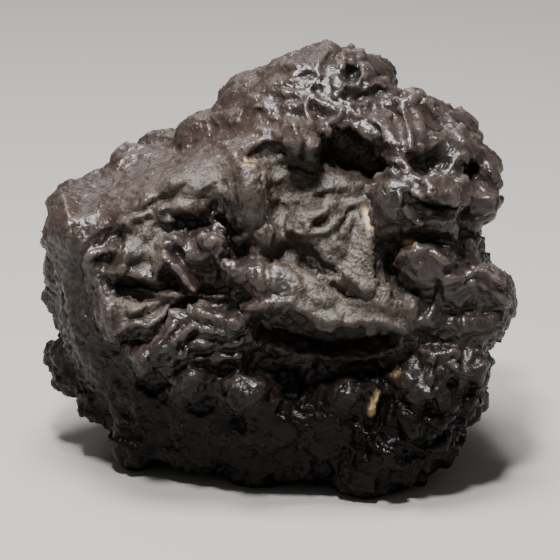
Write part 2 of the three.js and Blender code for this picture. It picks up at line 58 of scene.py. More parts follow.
camera = bpy.data.objects.new("camera", bpy.data.cameras.new("camera"))
camera.data.sensor_width = SENSOR_WIDTH
camera.data.lens = SENSOR_WIDTH * CAMERA_DISTANCE / FRAME_WIDTH
camera.data.clip_start = NEAREST_SEEN
frame_middle = SEEN_MIDDLE + FRAME_MIDDLE_RIGHT * RIGHT - FRAME_MIDDLE_DOWN * PICTURE_UP
camera.location = frame_middle + CAMERA_DISTANCE * TO_CAMERA
camera.rotation_euler = (-TO_CAMERA).to_track_quat("-Z", "Y").to_euler()
bpy.context.scene.collection.objects.link(camera)
bpy.context.scene.camera = camera


# Floor and light
# A floor of plain pale paper under one soft lamp overhead, so that the ledges shade what lies under
# them. A small lamp in front of it makes the bright points on the varnish, and a wide weak one behind
# makes the sheen on the smooth shoulder.
STUDIO_GLOW = 0.25
FLOOR_HALF_WIDTH = 2
PAPER_ROUGHNESS = 0.9


def linear(hex_colour):
    """Turns an sRGB hex colour into linear red, green, blue and alpha."""
    parts = [int(hex_colour[i : i + 2], 16) / 255 for i in (1, 3, 5)]
    return [p / 12.92 if p <= 0.04045 else ((p + 0.055) / 1.055) ** 2.4 for p in parts] + [1]


def soft_light(name, place, size, power):
    """Puts a square lamp at a place, in metres, and points it at the stone."""
    lamp = bpy.data.lights.new(name, "AREA")
    lamp.size = size
    lamp.energy = power
    light = bpy.data.objects.new(name, lamp)
    light.location = place
    light.rotation_euler = (SEEN_MIDDLE - Vector(place)).to_track_quat("-Z", "Y").to_euler()
    bpy.context.scene.collection.objects.link(light)


soft_light("back_light", (-0.16, 0.45, 0.42), size=0.26, power=0.55)
soft_light("overhead_light", (-0.04, 0.0, 0.6), size=0.2, power=7)
soft_light("small_light", (-0.05, -0.2, 0.5), size=0.06, power=4)

world = bpy.data.worlds.new("studio")
world.use_nodes = True
world.node_tree.nodes["Background"].inputs["Color"].default_value = linear("#e9e7e4")
world.node_tree.nodes["Background"].inputs["Strength"].default_value = STUDIO_GLOW
bpy.context.scene.world = world

bm = bmesh.new()
bmesh.ops.create_grid(bm, x_segments=1, y_segments=1, size=FLOOR_HALF_WIDTH)
floor_mesh = bpy.data.meshes.new("floor")
bm.to_mesh(floor_mesh)
bm.free()
floor = bpy.data.objects.new("floor", floor_mesh)
bpy.context.scene.collection.objects.link(floor)

# Matt paper, which shows the stone's shadow and no reflection of it.
pale_paper = bpy.data.materials.new("pale matt paper")
pale_paper.use_nodes = True
paper_finish = pale_paper.node_tree.nodes["Principled BSDF"]
paper_finish.inputs["Base Color"].default_value = linear("#9d9a96")
paper_finish.inputs["Roughness"].default_value = PAPER_ROUGHNESS
floor_mesh.materials.append(pale_paper)


# Stone
# One iron-oxide concretion, grown as one piece in chalk and then worn and varnished by desert wind.
# Its large forms are those of the node; its knobs, cups, blades, layers and grain are worked into a
# fine mesh of that node, and nothing is fixed to it.
MERGED_WITHIN = MM / 1000
FIRST_CELL = 0.4 * MM
FACET_SMOOTHING = 6

stone = bpy.data.objects.new("prophecy_stone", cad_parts["stone"].data.copy())
bpy.context.scene.collection.objects.link(stone)
bm = bmesh.new()
bm.from_mesh(stone.data)
bmesh.ops.remove_doubles(bm, verts=bm.verts, dist=MERGED_WITHIN)
bm.to_mesh(stone.data)
bm.free()


def rework(modifier_name, kind, **settings):
    """Puts one modifier on the stone and keeps what it makes as the stone's mesh."""
    modifier = stone.modifiers.new(modifier_name, kind)
    for name, value in settings.items():
        setattr(modifier, name, value)
    bpy.context.view_layer.update()
    made = bpy.data.meshes.new_from_object(stone.evaluated_get(bpy.context.evaluated_depsgraph_get()))
    stone.modifiers.clear()
    stone.data = made


def read_points():
    """The places of the stone's points, one row each."""
    flat = np.empty(len(stone.data.vertices) * 3)
    stone.data.vertices.foreach_get("co", flat)
    return flat.reshape(-1, 3)


def read_normals():
    """The outward directions at the stone's points, one row each."""
    flat = np.empty(len(stone.data.vertices) * 3, np.float32)
    stone.data.vertex_normals.foreach_get("vector", flat)
    return flat.reshape(-1, 3).astype(float)


def move_to(points):
    """Moves the stone's points, none of them below the surface that the stone lies on."""
    points[:, 2] = np.maximum(points[:, 2], 0)
    stone.data.vertices.foreach_set("co", points.ravel())
    stone.data.update()


def spread(values, rounds):
    """Averages values of the points with those of their neighbours, so many times."""
    ends = np.empty(len(stone.data.edges) * 2, int)
    stone.data.edges.foreach_get("vertices", ends)
    neighbours = np.bincount(ends)[:, None]
    for _ in range(rounds):
        around = np.empty_like(values)
        for k in range(values.shape[1]):
            around[:, k] = np.bincount(ends[::2], values[ends[1::2], k], len(values))
            around[:, k] += np.bincount(ends[1::2], values[ends[::2], k], len(values))
        values = (values + around / neighbours) / 2
    return values


rework("even cells", "REMESH", mode="VOXEL", voxel_size=FIRST_CELL)
move_to(spread(read_points(), FACET_SMOOTHING))

# The front, feature by feature. Places are millimetres right of and above the middle as the front is
# seen, so that each feature lies where it is seen. A recess or a lump has a depth or height, the width
# of its slope, and its outline; a ridge or a groove has a height or depth, its reach, and its line.
RECESSES = [
    # Cups of the crown, from the top down
    (0.6, 0.5, [(7.8, 35.2), (9.4, 37.8), (9.9, 37.6), (8.7, 35.1)]),
    (0.4, 0.7, [(9.9, 35), (10, 37.6), (11, 37.2), (11.2, 35)]),
    (1.1, 2.1, [(10.6, 33), (11.3, 34.8), (12.6, 35.4), (14, 34.8), (14.2, 33), (13.4, 31.8),
                (11.6, 31.8)]),
    (0.5, 1.4, [(13, 35.4), (14, 37), (16.2, 36.6), (16.8, 35.2), (15, 34.4)]),
    (0.9, 1.9, [(16.4, 34.6), (18.6, 35.4), (20.3, 32.6), (20.4, 31.2), (18.6, 31.6), (16.6, 33.2)]),
    (0.7, 0.7, [(16.6, 30.5), (17.3, 31.8), (18.6, 30.9), (17.6, 30.3)]),
    (0.8, 1.4, [(4, 33.4), (5, 34.4), (6.4, 34.1), (6.9, 33.3), (6.1, 32.5), (4.6, 32.3)]),
    (1, 1, [(5.9, 30.9), (6.6, 31.8), (8.1, 32), (8.3, 31.1), (7.2, 30.2), (6.2, 30.3)]),
    (0.8, 1.4, [(8.5, 31.9), (9.7, 32.6), (10.4, 31), (9.6, 29.5), (8.5, 30)]),
    (0.8, 1, [(11.2, 29.2), (11.6, 30.4), (12.8, 30.2), (12.9, 29), (12, 28.5)]),
    (2.1, 2.2, [(5.5, 29.4), (5.3, 27.4), (6, 25.8), (7.2, 25.2), (9.4, 25.3), (10.5, 26.3),
                (10.6, 27.4), (9.6, 28.2), (7.6, 28.3), (6.4, 29.4)]),
    (1.2, 1.4, [(1.9, 26.4), (2.5, 27.7), (4.6, 28), (5.1, 27), (4.9, 26), (3, 25.7)]),
    (1, 1, [(13.2, 29.2), (13.6, 30.4), (15, 30.2), (15.1, 29), (14, 28.6)]),
    (1.4, 1.6, [(15.2, 26.4), (15.4, 28.7), (16.8, 28.9), (17.7, 27.6), (16.8, 26.4)]),
    (0.5, 1.4, [(15.3, 26.2), (15.3, 28.9), (18, 29), (20.8, 28.2), (20.2, 26.8), (18, 26.2)]),
    (1.2, 1.2, [(18.7, 25.4), (19.4, 26.9), (21.3, 27), (21.7, 25.8), (20.4, 24.8)]),
    # Under the arch
    (0.84, 0.6, [(-5.4, 20), (-3.6, 21.4), (-1.6, 22.3), (1.6, 21.9), (1.9, 20), (-0.4, 19.2),
                 (-3, 18.7), (-5.2, 18.6)]),
    (0.96, 0.7, [(7.2, 20.5), (8, 22.8), (10.2, 24.3), (12.6, 25), (14.4, 23.7), (16.2, 21.9),
                 (17.8, 20.2), (20.2, 18), (19.8, 17.2), (16, 16.3), (12, 17.4), (9.6, 18.2),
                 (7.4, 18.4)]),
    # Blades and hollows of the right shoulder
    (1, 0.35, [(16, 24.9), (17.1, 24.9), (18.5, 22.9), (17.8, 22.9)]),
    (1, 0.6, [(24.6, 24.6), (25.4, 25.1), (26.9, 22.8), (26, 22.3), (25, 23.2)]),
    (1, 0.5, [(21.9, 19.6), (22.4, 20.6), (25.2, 20), (25.5, 18.4), (24, 18.8)]),
    (1, 0.5, [(19.8, 17.8), (21.6, 18.2), (22.4, 16.6), (21.4, 16.1), (20.2, 16.6)]),
    (2.2, 3, [(21.5, 15.4), (30.5, 15.6), (31, 19.8), (27, 21.4), (22.4, 20.6)]),
    (1.1, 0.7, [(29, 16.6), (29.8, 18), (31, 19.4), (32.6, 19.6), (34, 18.4), (35, 17), (33.8, 16.2),
                (32.6, 16.6), (31.4, 15.4), (30, 15.8)]),
    (1.1, 0.9, [(27.4, 23.8), (28.8, 24.2), (30.6, 22.6), (30.8, 21.4), (28.6, 22.4)]),
    # Between and below the blocks
    (1.6, 0.6, [(22.4, 12.7), (27.2, 13.2), (30.6, 12.6), (31, 10.8), (27.4, 10.6), (24.4, 11.4)]),
    (0.5, 0.5, [(20.8, 12.4), (22.4, 12.6), (23.4, 11.2), (22.2, 10.6), (20.9, 11)]),
    (0.5, 0.4, [(16.2, 9.4), (31.2, 9.6), (31.4, 8.9), (24, 8.6), (16.2, 8.8)]),
    (0.8, 0.5, [(17, 5), (21, 5.2), (27, 4.8), (30, 4.2), (30.4, 3.4), (25.6, 4.2), (17.4, 4.2)]),
    (0.8, 0.5, [(31.2, 14), (32, 13.6), (31.8, 9.4), (31.2, 5.2), (30.4, 5), (30.9, 9)]),
    (0.9, 0.8, [(18.6, 3.4), (20.4, 3.2), (21, -1), (23.6, -4.6), (23, -6), (19.6, -4.4), (18.4, 0)]),
    (0.8, 0.6, [(25.4, -3.6), (27.4, -1.4), (27.4, -5), (26, -8), (24, -8.4), (23.6, -5.6)]),
    (0.6, 0.5, [(28, -6.6), (33, -6.9), (38.6, -6.2), (38.8, -7), (33.6, -7.8), (28, -7.6)]),
    (1.4, 0.5, [(31.6, 7.2), (34, 7.8), (37.4, 7.6), (34.4, 6.2), (31.8, 6.4)]),
    # Hollow and ledge
    (2, 1.4, [(3, 2.4), (5, 2.6), (8, 0.4), (11.4, -2.2), (14.8, -4.4), (14, -5.6), (10.6, -4.4),
              (7, -1.6), (4, 0.6)]),
    (1.1, 0.5, [(5.8, 7.1), (6.5, 8.8), (8.3, 8.7), (8.2, 7.4)]),
    (0.8, 1.2, [(9.6, 8), (12, 11), (14.6, 10.6), (14.8, 6), (12.4, 2.6), (9.8, 4)]),
    (4.4, 2.4, [(-5, -7.2), (2.3, -6), (6.3, -8.2), (12, -9.3), (17.6, -9.1), (22, -10.8), (20, -13.6),
                (16, -14.6), (9, -14.8), (2, -13.8), (-4, -12)]),
    # Front left face
    (0.65, 0.96, [(-31, 2.6), (-28.6, 3.7), (-26, 3.4), (-25.4, 1.7), (-27.4, 0.9), (-29.6, -0.4),
                  (-30.8, 0.6)]),
    (1.23, 1.08, [(-27.6, -10.8), (-25, -10.6), (-21.6, -10.8), (-20, -9.8), (-17.6, -6.8), (-16, -5.4),
                  (-16.4, -7.2), (-18.6, -9.6), (-21, -12.4), (-24.4, -13), (-27, -12.6)]),
    (0.85, 0.72, [(-16.8, -13), (-15, -10.6), (-12.6, -8.8), (-10.8, -9.2), (-13, -10.8),
                  (-15.4, -13.2)]),
    (0.98, 1.2, [(-33.4, 3.6), (-31, 5.2), (-29, 7), (-26.4, 7.2), (-25.2, 5.6), (-26, 3.4), (-29, 3.6),
                 (-31.6, 3)]),
    (0.78, 0.6, [(-22.6, 11.7), (-21, 12.7), (-18.6, 13.3), (-16.4, 14.8), (-15.2, 15.4), (-15.6, 14),
                 (-17.6, 12.4), (-19.4, 11.4), (-21.4, 11)]),
    (0.5, 1, [(-19.6, 7), (-18, 7.8), (-16.2, 9.8), (-13, 10), (-11.2, 9.4), (-10.6, 8), (-13, 6.8),
              (-14.2, 5.2), (-16.6, 5.6), (-19, 5.8)]),
    (0.72, 1.08, [(-10.2, 10.2), (-7.4, 10), (-5.4, 8.4), (-5, 7), (-6.6, 6), (-8.4, 6.6), (-10, 8)]),
    (0.72, 0.96, [(-7.6, 3.6), (-6, 5.3), (-4, 4.8), (-3.8, 2.6), (-5, 1.5), (-7, 2)]),
    (0.85, 0.6, [(-18.7, 3.7), (-17.4, 3.7), (-16, 2.7), (-15.5, 1.4), (-16.6, 1.5), (-18.1, 2.6)]),
    (0.6, 1, [(-14.8, 0.8), (-12.6, 1.6), (-11.6, 3.2), (-10.2, 2), (-9.2, 0.4), (-8.8, -1.4),
              (-10.6, -2.6), (-12.4, -1.6), (-14.2, -0.6)]),
    (0.6, 1, [(-16.6, -4.4), (-14.6, -4), (-11.4, -2.8), (-7.6, -2.8), (-5.6, -4.2), (-5, -6),
              (-8, -7.8), (-11.4, -6.8), (-14.6, -6.6), (-16.4, -5.4)]),
    (0.5, 0.8, [(-27.2, -1.5), (-25, -1.4), (-22.4, -1.8), (-20.4, -2.2), (-19.8, -3.4), (-21.4, -4.4),
                (-24, -4.2), (-26, -4.2), (-26.8, -2.8)]),
    (1.04, 0.84, [(-19.4, 0.8), (-18.4, 0.5), (-16.4, -2.2), (-16.8, -4), (-19, -3.2), (-19.6, -1.4)]),
    (0.78, 0.6, [(-9.8, 15.2), (-8.4, 16), (-7.6, 14.8), (-8.6, 13.8), (-9.8, 14.2)]),
    (0.65, 0.6, [(-14, 12.4), (-12.6, 13.4), (-10.8, 12.6), (-12.4, 11.8)]),
    # Dark lower face
    (0.96, 1.2, [(-10.4, -15.8), (-8.6, -14.8), (-6, -16.2), (-8, -18.8), (-10.4, -18.6)]),
    (1.2, 1.2, [(0.4, -16), (4, -17), (5.4, -20.4), (3, -23), (0.4, -21.6), (-0.6, -18.6)]),
    (1.12, 0.96, [(18, -21), (19, -20.6), (19.4, -24), (18, -27.6), (16.8, -26.4), (17.4, -23.4)]),
    (1.04, 0.96, [(-24.6, -17), (-20, -16.6), (-17.6, -19.4), (-20.6, -21.8), (-24, -20.4)]),
    (0.88, 0.96, [(-15, -21.4), (-11, -21.6), (-10, -24), (-13.4, -25.4), (-15.6, -23.6)]),
    (1.04, 0.6, [(20.6, -20.4), (22.4, -20.8), (23.4, -22.6), (21.8, -23.4), (20.4, -22)]),
    (1.2, 0.72, [(22, -28), (25.4, -28.8), (29.6, -27.6), (29, -29.6), (25, -30.6), (21.4, -29.4)]),
    (0.96, 0.72, [(29, -18.8), (31, -17.4), (31.4, -20.6), (30, -22)]),
    (0.8, 0.6, [(24.8, -22.4), (27, -22.6), (27.4, -24.4), (25.2, -24)]),
]
LUMPS = [
    # Crown and its drips
    (0.6, 1.3, [(4.4, 36), (5.8, 38.3), (8, 39), (9.4, 38.7), (8.2, 37), (7.1, 35.2), (5.4, 35)]),
    (0.7, 0.7, [(17.6, 28.6), (18.4, 29.9), (21.6, 29.9), (21.8, 28.6), (20.6, 27.3), (19.2, 27.3)]),
    (1.3, 0.9, [(6.4, 25.2), (9.6, 25.2), (9.4, 24), (8.2, 23.1), (7.2, 23.5)]),
    (1.8, 0.6, [(1.8, 24.9), (3.8, 25), (4.6, 22.6), (4.7, 20.5), (3, 20), (2, 21.2)]),
    (1.5, 0.8, [(4.8, 22.4), (7, 22.3), (7.1, 20.4), (6.4, 18.5), (4.2, 18.9), (4.6, 20.6)]),
    (0.5, 0.5, [(-5.2, 29.2), (-4.4, 30.4), (-2.4, 30.2), (-3.6, 29.2)]),
    (0.5, 0.5, [(-3.6, 28.6), (-2, 28.6), (-2.4, 27.5), (-3.6, 27.7)]),
    (0.5, 0.5, [(-2, 27.2), (0.6, 26.5), (0.4, 25.4), (-1.6, 26.1)]),
    (0.5, 0.5, [(-0.6, 30.6), (1.6, 31.2), (2.6, 30.2), (0.4, 29.6)]),
    (0.5, 0.5, [(-8.4, 26), (-6.6, 26.2), (-6.4, 25), (-8.2, 25)]),
    (0.8, 1.6, [(-6.6, 28.6), (-4.4, 30.6), (-1, 30), (0.6, 27.8), (-1.6, 26.6), (-5, 27)]),
    (0.7, 1.2, [(-4.6, 24.4), (-2, 25.6), (1.4, 24.6), (1.4, 22.6), (-2, 22.8), (-4.4, 23)]),
    # Right shoulder and right end
    (0.8, 0.9, [(22.6, 30.2), (24.2, 30.8), (25.6, 29.6), (27.2, 26.6), (26, 25.6), (24.6, 27.4)]),
    (0.9, 1.3, [(27.7, 27.6), (29.8, 28), (31.8, 26.8), (34, 24.6), (35.2, 22), (34.8, 21.2), (33, 22),
                (31.4, 24), (29, 25.4)]),
    (0.8, 1, [(34.8, 20.4), (37, 18.4), (38, 16), (37.6, 13.8), (36.6, 14.4), (35.4, 17)]),
    (0.9, 1.1, [(31.9, 9.8), (32.4, 13.4), (35, 13.8), (37.6, 12.8), (38, 9.6), (35, 8.6)]),
    (0.9, 1, [(31.6, 1.2), (31.4, 5.4), (34, 6.2), (36, 3), (35.8, 0.4), (33.6, 0.2)]),
    # Blocks
    (2, 3, [(15.6, 14.6), (19, 16.4), (24, 17.4), (28.6, 18), (31.4, 16), (32.4, 13), (31.8, 9),
            (30.6, 5), (24, 4.6), (16.4, 5)]),
    (1, 0.6, [(16.4, 14.4), (17.4, 15.3), (22.4, 15.6), (23.8, 14.6), (21.4, 12.8), (20.8, 11),
              (22, 9.8), (20.4, 5.2), (17, 5.4)]),
    (1.2, 0.5, [(23.2, 13.6), (25, 15.1), (30.8, 15), (31.8, 13.4), (31, 12.8), (28, 13.2),
                (24.8, 13.3)]),
    (0.9, 0.5, [(21.4, 10), (24.6, 10.4), (30.6, 10.2), (30.4, 5.2), (26, 4.9), (21, 5.2)]),
    (1.3, 0.9, [(20.6, 2.4), (22.6, 4.2), (26, 3.8), (29.4, 2), (28.8, -0.6), (25.4, -3.2), (22.6, -2),
                (21, 0.4)]),
    (1.1, 0.6, [(28, -1.6), (31, -0.4), (35, 0.2), (38.8, -1.6), (39.6, -5.2), (35.4, -6.4),
                (31.4, -6.4), (28.2, -5.2)]),
    # Hollow and ledge
    (2.4, 3, [(-7.6, 18.8), (2, 18.6), (7, 18), (12, 17.2), (16, 15.8), (16, 8), (12, 2), (4, 2),
              (-4, 3), (-7.6, 10)]),
    (0.9, 1.6, [(-1.8, 1.2), (1, 1.8), (4.2, 0), (5.4, -2.6), (4.6, -4.8), (0.4, -5), (-1.8, -3)]),
    (0.6, 1, [(-2.6, 18), (0, 18.8), (5.2, 17.6), (9, 17), (8, 15.8), (2, 16.4)]),
    (1.5, 0.9, [(2.8, 5), (5.2, 3.4), (8.6, 0.8), (15, -4.6), (17.4, -4), (17, 8), (16, 13),
                (9.4, 11.8), (7.3, 9.6), (5, 9.1), (2.8, 6.9)]),
    (1, 1.5, [(-5, 8), (0, 8), (2, 3), (-4, 2.6)]),
    # Front left face
    (1.3, 1.2, [(-29, -1.4), (-20, -2.4), (-14, -3.4), (-6, -2.6), (-6, -5.6), (-15, -5.4),
                (-28.6, -4.8)]),
    (1.2, 1.4, [(-19.6, 9.6), (-7, 9.8), (-5.4, 6.6), (-12, 5.6), (-19, 6)]),
    (0.7, 0.9, [(-27, 8.8), (-24.6, 10.2), (-22, 9.7), (-20.6, 7.8), (-21, 5), (-22.8, 4.4),
                (-24.6, 6.2)]),
    (0.6, 0.7, [(-20.4, 9.8), (-17.8, 10), (-16.6, 8.9), (-18.6, 7.7), (-20.2, 8.2)]),
    (1.4, 0.9, [(-13.7, 6), (-12.4, 6.9), (-10.6, 6.5), (-9.9, 4.6), (-11, 3.3), (-12.8, 3.7),
                (-13.7, 4.8)]),
    (1.2, 1.3, [(-8.7, 0.6), (-7, 1.5), (-5.2, 0.9), (-4.3, -0.8), (-5.4, -2.5), (-7.4, -2.3),
                (-8.5, -1)]),
    (1, 0.7, [(-15.1, -1.4), (-13.6, -1.1), (-12, -1.9), (-12.5, -3.2), (-14.9, -3.2)]),
    (0.8, 0.9, [(-14.4, 13.6), (-12, 15.6), (-9.4, 16), (-10.6, 13.8), (-13, 13)]),
    (0.8, 0.9, [(-9.4, 13), (-7.4, 14.6), (-6, 13.4), (-6.4, 10.8), (-8.4, 11)]),
    (0.7, 0.9, [(-25, 3.6), (-22.6, 4.1), (-20.6, 3.7), (-20.4, 1.7), (-23, 1.3), (-24.6, 2)]),
    # Dark lower face
    (0.77, 2.1, [(-17.6, -15.8), (-14, -15.6), (-11.4, -17.2), (-12.6, -19.8), (-16.4, -19.6)]),
    (0.84, 2.4, [(-9, -19), (-5.4, -17.6), (-1.4, -19), (-1.2, -22.2), (-5, -23.6), (-8.4, -22.4)]),
    (0.84, 1.95, [(6.4, -18.8), (10.6, -18), (14.6, -19.6), (15.4, -23.4), (12, -25.6), (8, -23.6)]),
    (0.63, 1.95, [(-27, -23), (-22.4, -22.6), (-21, -26), (-24.4, -28.6), (-27.4, -26.6)]),
    (0.56, 1.8, [(-19, -26), (-14, -26.6), (-12.6, -29.4), (-17, -30.8), (-20, -28.8)]),
    (0.56, 1.8, [(-8, -27), (-2.4, -26.4), (-0.4, -29.4), (-4.4, -32), (-8.4, -30.2)]),
    (0.63, 1.8, [(5.6, -28.6), (10.8, -27.8), (13.4, -30.6), (10, -33.6), (5.8, -32)]),
    # Pale and glassy lumps at the lower right
    (0.84, 1.2, [(24, -12.6), (27.4, -11.8), (31.6, -13.6), (31.8, -17.6), (28, -19), (24.8, -17.2)]),
    (0.84, 0.6, [(19.6, -18.4), (22.6, -16.8), (24.2, -18.6), (23, -20.4), (20.6, -19.8)]),
    (0.77, 0.6, [(24.4, -19.4), (27.6, -20), (29.6, -22), (27.6, -23), (24.6, -21.6)]),
    (0.77, 0.6, [(20, -24.4), (22.4, -23.8), (24.6, -25.2), (23.6, -27.4), (20.8, -26.8)]),
    (0.7, 0.6, [(25.4, -24.8), (28.4, -24.6), (30.6, -24), (29, -27), (26, -27.2)]),
    (0.63, 0.9, [(32, -13.6), (35.6, -12.4), (36.4, -16.4), (33.8, -19.6), (32, -17)]),
    (0.56, 0.9, [(14.8, -28), (17.8, -28.4), (20.4, -31.6), (19.4, -33.6), (16, -31.4)]),
]
RIDGE_HEIGHTS = 1.5
RIDGE_REACHES = 3
